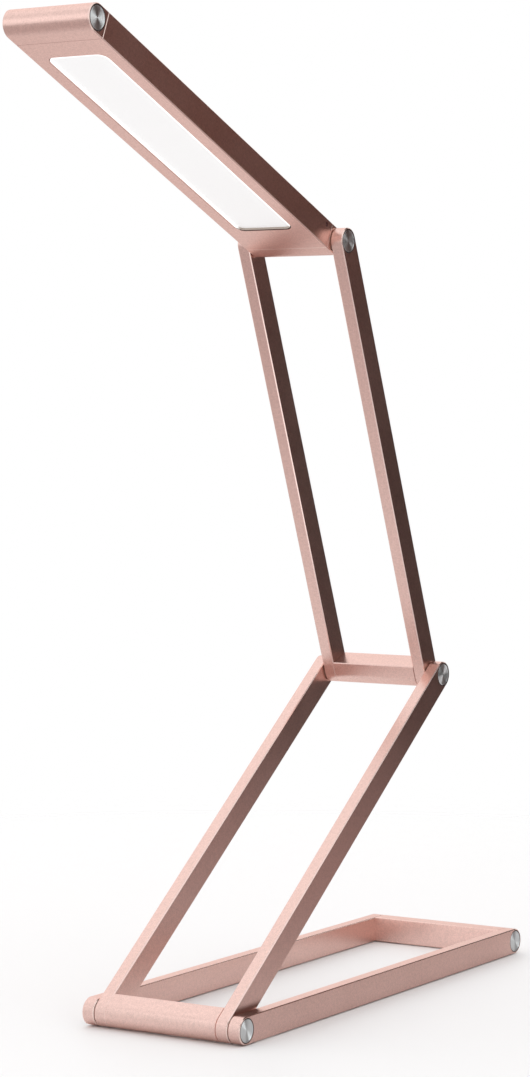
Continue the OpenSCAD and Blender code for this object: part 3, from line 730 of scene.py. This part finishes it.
def milky_diffuser(settings):
    """White acrylic with a glow that is faint on its sunk face and strong on its rim: partly
    the panel's own light, partly painted light that brightens the walls in the shadow gap round
    the rim. At the hinge end the rim gets painted shade and no glow.
    """
    material, tree, shader, coordinates = start_material(
        "milky_diffuser", tuple(settings.diffuser), settings.roughness)
    add_grain_bump(tree, shader, coordinates, settings.grain, settings.grain_depth)
    along, outwards = head_directions()
    rim_top = reach("diffuser", outwards)[1]
    raised = rim_top - RIM_SHARE * settings.rim_height
    hinge_end = min(
        along.dot(corner.co) for corner in frame["nodes"]["diffuser"].data.vertices
        if outwards.dot(corner.co) > raised)
    rim = within(tree, distance_along(tree, coordinates, outwards), raised, rim_top)
    ending = mapped(
        tree, distance_along(tree, coordinates, along),
        hinge_end + SHADE_START * settings.shade, hinge_end + settings.shade, 1.0, 0.0,
        smooth=True)
    shaded = maths(tree, "MULTIPLY", rim, ending)
    tree.links.new(mixed_colour(tree, shaded, settings.diffuser, settings.shade_colour),
                   shader.inputs["Base Color"])
    # Painted light: full glow on the rim, a share of it on the sunk face; the rim's hinge end
    # gets painted shade and no glow.
    glow = mixed_colour(tree, rim, (settings.face_glow,) * 3, (1, 1, 1))
    tree.links.new(mixed_colour(tree, shaded, glow, (0, 0, 0)), shader.inputs["Emission Color"])
    shader.inputs["Emission Strength"].default_value = settings.glow
    return material


# ---- Modelling by hand ----

def select_none():
    """Object mode with nothing selected: the frame's nodes come in selected."""
    if bpy.context.object and bpy.context.object.mode != "OBJECT":
        bpy.ops.object.mode_set(mode="OBJECT")
    bpy.ops.object.select_all(action="DESELECT")


def pick(piece, wanted, kind="faces"):
    """Selects, in edit mode, the faces or edges for which wanted is true."""
    mesh = bmesh.from_edit_mesh(piece.data)
    bpy.context.tool_settings.mesh_select_mode = (False, kind == "edges", kind == "faces")
    for part in getattr(mesh, kind):
        part.select_set(wanted(part))
    mesh.select_flush_mode()
    bmesh.update_edit_mesh(piece.data)


def at_height(height):
    """True for a face or an edge whose corners all lie at a height."""
    return lambda part: all(abs(corner.co.z - height) < FLUSH for corner in part.verts)


def settle(piece, matrix):
    """Puts a finished piece in place, with the place in its mesh."""
    piece.data.transform(matrix)
    piece.matrix_world = Matrix.Identity(4)
    piece.data.update()


def dress(piece, material):
    """Gives a piece or a frame node one material in all its slots."""
    if not piece.material_slots:
        piece.data.materials.append(material)
    for place in piece.material_slots:
        place.material = material


def dress_nodes(names, material):
    for name in names:
        dress(frame["nodes"][name], material)


def turned_face(piece, settings):
    """Rim chamfer, rim, dish and turning marks on the upward face at height 0."""
    pick(piece, at_height(0), "edges")
    bpy.ops.mesh.bevel(offset=settings.edge, segments=2, profile=0.5, affect="EDGES")
    pick(piece, at_height(0))
    bpy.ops.mesh.inset(thickness=settings.rim, depth=0)
    bpy.ops.mesh.inset(thickness=settings.dish, depth=-settings.dish)
    room = settings.radius - settings.gap - settings.edge - settings.rim - settings.dish
    for half in range(2 * int(room / settings.mark) - 1):
        lift = settings.mark_depth if half % 2 else -settings.mark_depth
        bpy.ops.mesh.inset(thickness=settings.mark / 2, depth=lift)


def turning_map(piece):
    """UV map whose U runs outwards from the axis and whose V runs around it."""
    layer = piece.data.uv_layers.active or piece.data.uv_layers.new()
    layer.name = TURNING_MAP
    for face in piece.data.polygons:
        middle = math.atan2(face.center.y, face.center.x)
        for corner in face.loop_indices:
            x, y, _ = piece.data.vertices[piece.data.loops[corner].vertex_index].co
            around = math.remainder(math.atan2(y, x) - middle, math.tau) + middle
            layer.data[corner].uv = (math.hypot(x, y) * MAP_SCALE, around / math.tau)


def model_disc(name, settings, depth):
    """Stepped turned disc that faces +Z with its outer face at height 0."""
    select_none()
    seat = depth - settings.step
    bpy.ops.mesh.primitive_cylinder_add(
        vertices=settings.sides, radius=settings.radius, depth=seat,
        location=(0, 0, -settings.step - seat / 2))
    piece = bpy.context.object
    piece.name = name
    bpy.ops.object.transform_apply(location=True, rotation=True, scale=True)
    bpy.ops.object.mode_set(mode="EDIT")
    pick(piece, at_height(-settings.step))
    bpy.ops.mesh.inset(thickness=settings.gap, depth=0)
    bpy.ops.mesh.extrude_region_move(TRANSFORM_OT_translate={"value": (0, 0, settings.step)})
    turned_face(piece, settings)
    bpy.ops.object.mode_set(mode="OBJECT")
    bpy.ops.object.shade_smooth_by_angle(angle=settings.smooth_angle)
    return piece


def two_finishes(piece, settings):
    """Turned aluminium on the turned face, and painted shade on the groove and seat under it.
    """
    for name, maker in (("turned_aluminium", turned_aluminium),
                        ("dark_anodised", dark_anodised)):
        piece.data.materials.append(shared_material(name, maker, settings))
    for side in piece.data.polygons:
        side.material_index = 1 if side.center.z < -settings.step / 2 else 0


def disc_copy(pattern, name):
    copy = bpy.data.objects.new(name, pattern.data.copy())
    bpy.context.scene.collection.objects.link(copy)
    return copy


def facing_side(place, side):
    """Matrix that turns +Z to +Y or -Y and moves the disc to place."""
    turn = Matrix.Rotation(math.radians(-90 * side), 4, "X")
    return Matrix.Translation(place) @ turn


# ---- Operators ----

class LAMP_OT_frame_metal(bpy.types.Operator):
    """Finish the bars, the head's tube and its caps in rose anodised aluminium"""
    bl_idname = "lamp.frame_metal"
    bl_label = "Frame Metal"

    def execute(self, context):
        settings = context.scene.desk_lamp.metal
        dress_nodes(FRAME_METAL, rose_anodised(settings))
        dress_nodes(["head_tube"], rose_anodised(
            settings, "rose_anodised_head", window=True))
        return {"FINISHED"}


class LAMP_OT_turned_discs(bpy.types.Operator):
    """Model the turned cover discs at the hinges, the rear corners and the nose"""
    bl_idname = "lamp.turned_discs"
    bl_label = "Turned Discs"

    def execute(self, context):
        settings = context.scene.desk_lamp.discs
        pattern = model_disc("disc_pattern", settings, settings.depth)
        turning_map(pattern)
        two_finishes(pattern, settings)
        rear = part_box("base_cover_discs")[1].x - settings.radius
        front = joint_place("base_hinge")
        places = [
            ("base_cover_discs", "base", (front, Vector((rear, 0, front.z)))),
            ("lower_cover_discs", "lower_arm", (joint_place("mid_hinge"),)),
            ("upper_cover_discs", "upper_arm", (joint_place("head_hinge"),))]
        for node, body, centres in places:
            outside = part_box(node)[1].y
            for number, centre in enumerate(centres):
                for side, word in ((1, "left"), (-1, "right")):
                    disc = disc_copy(pattern, f"turned_disc_{body}_{number}_{word}")
                    settle(disc, facing_side((centre.x, side * outside, centre.z), side))
                    self.finish_disc(disc, body, node)
        nose = disc_copy(pattern, "turned_disc_nose")
        centre = box_centre("nose_cover_disc")
        settle(nose, facing_side((centre.x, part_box("nose_cover_disc")[1].y, centre.z), 1))
        self.finish_disc(nose, "head", "nose_cover_disc")
        bpy.data.objects.remove(pattern)
        return {"FINISHED"}

    def finish_disc(self, disc, body, node):
        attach(disc, body)
        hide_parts(node)


class LAMP_OT_power_button(bpy.types.Operator):
    """Model the power button: a turned disc on a stem"""
    bl_idname = "lamp.power_button"
    bl_label = "Power Button"

    def execute(self, context):
        settings = context.scene.desk_lamp.discs
        low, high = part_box("power_button")
        centre = box_centre("power_button")
        back = -settings.button_depth
        stem_end = low.y - high.y
        button = model_disc("button_cap", settings, settings.button_depth)
        bpy.ops.object.mode_set(mode="EDIT")
        pick(button, at_height(back))
        bpy.ops.mesh.inset(thickness=settings.radius - settings.stem, depth=0)
        bpy.ops.mesh.extrude_region_move(
            TRANSFORM_OT_translate={"value": (0, 0, stem_end - back)})
        pick(button, at_height(stem_end), "edges")
        bpy.ops.mesh.bevel(offset=settings.edge, segments=2, affect="EDGES")
        bpy.ops.object.mode_set(mode="OBJECT")
        turning_map(button)
        two_finishes(button, settings)
        settle(button, facing_side((centre.x, low.y, centre.z), -1))
        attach(button, "button")
        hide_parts("power_button")
        return {"FINISHED"}


class LAMP_OT_hardware(bpy.types.Operator):
    """Finish the screws, dowels, washers and foot pads"""
    bl_idname = "lamp.hardware"
    bl_label = "Hardware"

    def execute(self, context):
        dress_nodes(STEEL_PARTS, shared_material("plated_steel", plated_steel))
        for names, finish in ((FRICTION_WASHERS, "waxy_polymer"), (FOOT_PADS, "pad_rubber")):
            dress_nodes(names, moulded(finish, MOULDINGS[finish]))
        return {"FINISHED"}


class LAMP_OT_light_panel(bpy.types.Operator):
    """Finish the diffuser and the pieces that light it"""
    bl_idname = "lamp.light_panel"
    bl_label = "Light Panel"

    def execute(self, context):
        dress_nodes(["diffuser"], milky_diffuser(context.scene.desk_lamp.panel))
        for name, finish in PANEL_FINISHES.items():
            dress_nodes([name], moulded(finish, MOULDINGS[finish]))
        return {"FINISHED"}


class LAMP_OT_electronics(bpy.types.Operator):
    """Finish the battery, the control board and what is wired to it"""
    bl_idname = "lamp.electronics"
    bl_label = "Electronics"

    def execute(self, context):
        dress_nodes(["charging_socket"], shared_material("plated_steel", plated_steel))
        for name, finish in ELECTRONIC_FINISHES.items():
            dress_nodes([name], moulded(finish, MOULDINGS[finish]))
        return {"FINISHED"}


class LAMP_OT_studio(bpy.types.Operator):
    """Build the table top, the dark flags, the lamps, the background and the camera"""
    bl_idname = "lamp.studio"
    bl_label = "Studio"

    def execute(self, context):
        settings = context.scene.desk_lamp.stage
        self.table_top(settings)
        self.dark_flag("dark_flag", settings.flag, settings.flag_turn, settings.flag_size)
        self.dark_flag("side_flag", settings.side_flag, settings.side_turn, settings.side_size)
        for row in AREA_LAMPS:
            self.area_lamp(row)
        self.background(context.scene)
        self.camera(context.scene, settings)
        context.scene.view_settings.view_transform = "Standard"
        return {"FINISHED"}

    def table_top(self, settings):
        """Pale disc that fades into the background and is open from below."""
        select_none()
        bpy.ops.mesh.primitive_circle_add(
            vertices=TABLE_SIDES, radius=settings.floor_radius, fill_type="NGON")
        top = bpy.context.object
        top.name = "table_top"
        material, tree, shader, coordinates = start_material(
            "table_white", tuple(settings.floor_colour), TABLE_ROUGHNESS)
        shader.inputs["Specular IOR Level"].default_value = TABLE_GLOSS
        dress(top, material)
        path = tree.nodes.new("ShaderNodeLightPath")
        away = new_node(tree, "ShaderNodeVectorMath", {"Vector": coordinates},
                        operation="LENGTH").outputs["Value"]
        share = maths(tree, "MULTIPLY", path.outputs["Is Glossy Ray"],
                      self.mirrored_shade(tree, coordinates, away, settings))
        warm = new_node(tree, "ShaderNodeBsdfDiffuse", Color=(*WARM_SHADE, 1))
        dimmed = mixed_shader(tree, share, shader.outputs[0], warm.outputs[0])
        faded = mapped(tree, away, settings.floor_fade * FADE_START, settings.floor_fade,
                       smooth=True)
        faded = maths(tree, "MULTIPLY", faded, path.outputs["Is Camera Ray"])
        behind = tree.nodes.new("ShaderNodeNewGeometry").outputs["Backfacing"]
        clear = tree.nodes.new("ShaderNodeBsdfTransparent")
        shown = mixed_shader(
            tree, maths(tree, "MAXIMUM", faded, behind), dimmed, clear.outputs[0])
        tree.links.new(shown, tree.nodes["Material Output"].inputs["Surface"])

    def mirrored_shade(self, tree, coordinates, away, settings):
        """How much darker gloss sees the table: by the flags, in front, and far off."""
        by_flags = maths(tree, "MINIMUM", *(
            mapped(tree, distance_along(tree, coordinates, direction), *ends,
                   LEAST_FLAG_DIM, settings.flag_dim)
            for direction, ends in ((TO_FLAG, TO_FLAG_SPAN), (BESIDE, BESIDE_SPAN))))
        in_front = distance_along(tree, coordinates, IN_FRONT)
        elsewhere = maths(
            tree, "MAXIMUM",
            mapped(tree, in_front, *IN_FRONT_SPAN, 0.0, settings.front_dim),
            mapped(tree, away, *DISTANCE_SPAN, 0.0, settings.floor_dim))
        return maths(tree, "MAXIMUM", by_flags, elsewhere)

    def dark_flag(self, name, foot, heading, size):
        """Dark card beside the lamp that only gloss sees, as the side faces show."""
        width, height = size
        select_none()
        bpy.ops.mesh.primitive_plane_add(size=1)
        card = bpy.context.object
        card.name = name
        stand = Matrix.Translation(Vector(foot) + Vector((0, 0, height / 2)))
        upright = Vector((1, 0, 0)).to_track_quat("Z", "Y").to_matrix().to_4x4()
        turn = Matrix.Rotation(heading, 4, "Z") @ upright
        settle(card, stand @ turn @ Matrix.Diagonal((width, height, 1, 1)))
        material, tree, shader, coordinates = start_material(name + "_cloth", CLOTH, 1.0)
        parts = new_node(tree, "ShaderNodeSeparateXYZ", {"Vector": coordinates})
        rises = mapped(tree, parts.outputs["Z"], *BAND_START, smooth=True)
        falls = mapped(tree, parts.outputs["Z"], *BAND_END, 1.0, 0.0, smooth=True)
        band = maths(tree, "MULTIPLY", rises, falls)
        tree.links.new(mixed_colour(tree, band, CLOTH, CLOTH_BAND), shader.inputs["Base Color"])
        dress(card, material)
        card.visible_camera = False
        card.visible_diffuse = False
        card.visible_shadow = False

    def area_lamp(self, row):
        """Disc or soft box, which lights only its receivers where it has any."""
        data = bpy.data.lights.new(row.name, "AREA")
        data.shape = "RECTANGLE" if row.height else "DISK"
        data.size = row.width
        data.size_y = row.height or row.width
        data.energy = row.power
        lamp = bpy.data.objects.new(row.name, data)
        bpy.context.scene.collection.objects.link(lamp)
        lamp.location = row.place
        aim = Vector(row.target) - Vector(row.place)
        lamp.rotation_euler = aim.to_track_quat("-Z", "Y").to_euler()
        lamp.visible_camera = False
        if row.receivers:
            lit = bpy.data.collections.new(row.name + "_receivers")
            for piece in bpy.data.objects:
                if piece.name.startswith(row.receivers):
                    lit.objects.link(piece)
            lamp.light_linking.receiver_collection = lit

    def background(self, scene):
        """White to the camera and in gloss and glass, and a calm grey light to the rest."""
        world = bpy.data.worlds.new("studio")
        scene.world = world
        world.use_nodes = True
        tree = world.node_tree
        shown = tree.nodes["Background"]
        shown.inputs["Color"].default_value = (1, 1, 1, 1)
        path = tree.nodes.new("ShaderNodeLightPath")
        seen = maths(
            tree, "MAXIMUM", path.outputs["Is Camera Ray"], path.outputs["Is Glossy Ray"])
        seen = maths(tree, "MAXIMUM", seen, path.outputs["Is Transmission Ray"])
        tree.links.new(mapped(tree, seen, 0, 1, ROOM_LIGHT, 1.0), shown.inputs["Strength"])

    def camera(self, scene, settings):
        data = bpy.data.cameras.new("photo_camera")
        data.sensor_width = SENSOR
        data.lens = settings.focal_pixels * SENSOR / max(PHOTO_WIDTH, PHOTO_HEIGHT)
        data.clip_start, data.clip_end = CAMERA_RANGE
        camera = bpy.data.objects.new("photo_camera", data)
        scene.collection.objects.link(camera)
        camera.location = settings.camera
        camera.rotation_euler = settings.camera_turn
        scene.camera = camera


STEPS = (
    LAMP_OT_frame_metal, LAMP_OT_turned_discs, LAMP_OT_power_button, LAMP_OT_hardware,
    LAMP_OT_light_panel, LAMP_OT_electronics, LAMP_OT_studio)


class LAMP_PT_panel(bpy.types.Panel):
    """Lists the steps that dress the lamp, and its sizes and colours"""
    bl_idname = "LAMP_PT_panel"
    bl_label = "Folding Desk Lamp"
    bl_space_type = "VIEW_3D"
    bl_region_type = "UI"
    bl_category = "Desk Lamp"

    def draw(self, context):
        settings = context.scene.desk_lamp
        for group in (settings.metal, settings.discs, settings.panel, settings.stage):
            column = self.layout.column(align=True)
            for name in group.__annotations__:
                column.prop(group, name)
        for step in STEPS:
            self.layout.operator(step.bl_idname)


CLASSES = (
    LampMetalSettings, LampDiscSettings, LampPanelSettings, LampStageSettings, LampSettings,
    *STEPS, LAMP_PT_panel)


def register():
    for kind in CLASSES:
        bpy.utils.register_class(kind)
    bpy.types.Scene.desk_lamp = PointerProperty(type=LampSettings)


def unregister():
    del bpy.types.Scene.desk_lamp
    for kind in reversed(CLASSES):
        bpy.utils.unregister_class(kind)


def main():
    register()
    for step in STEPS:
        group, name = step.bl_idname.split(".")
        getattr(getattr(bpy.ops, group), name)()


if __name__ == "__main__":
    main()
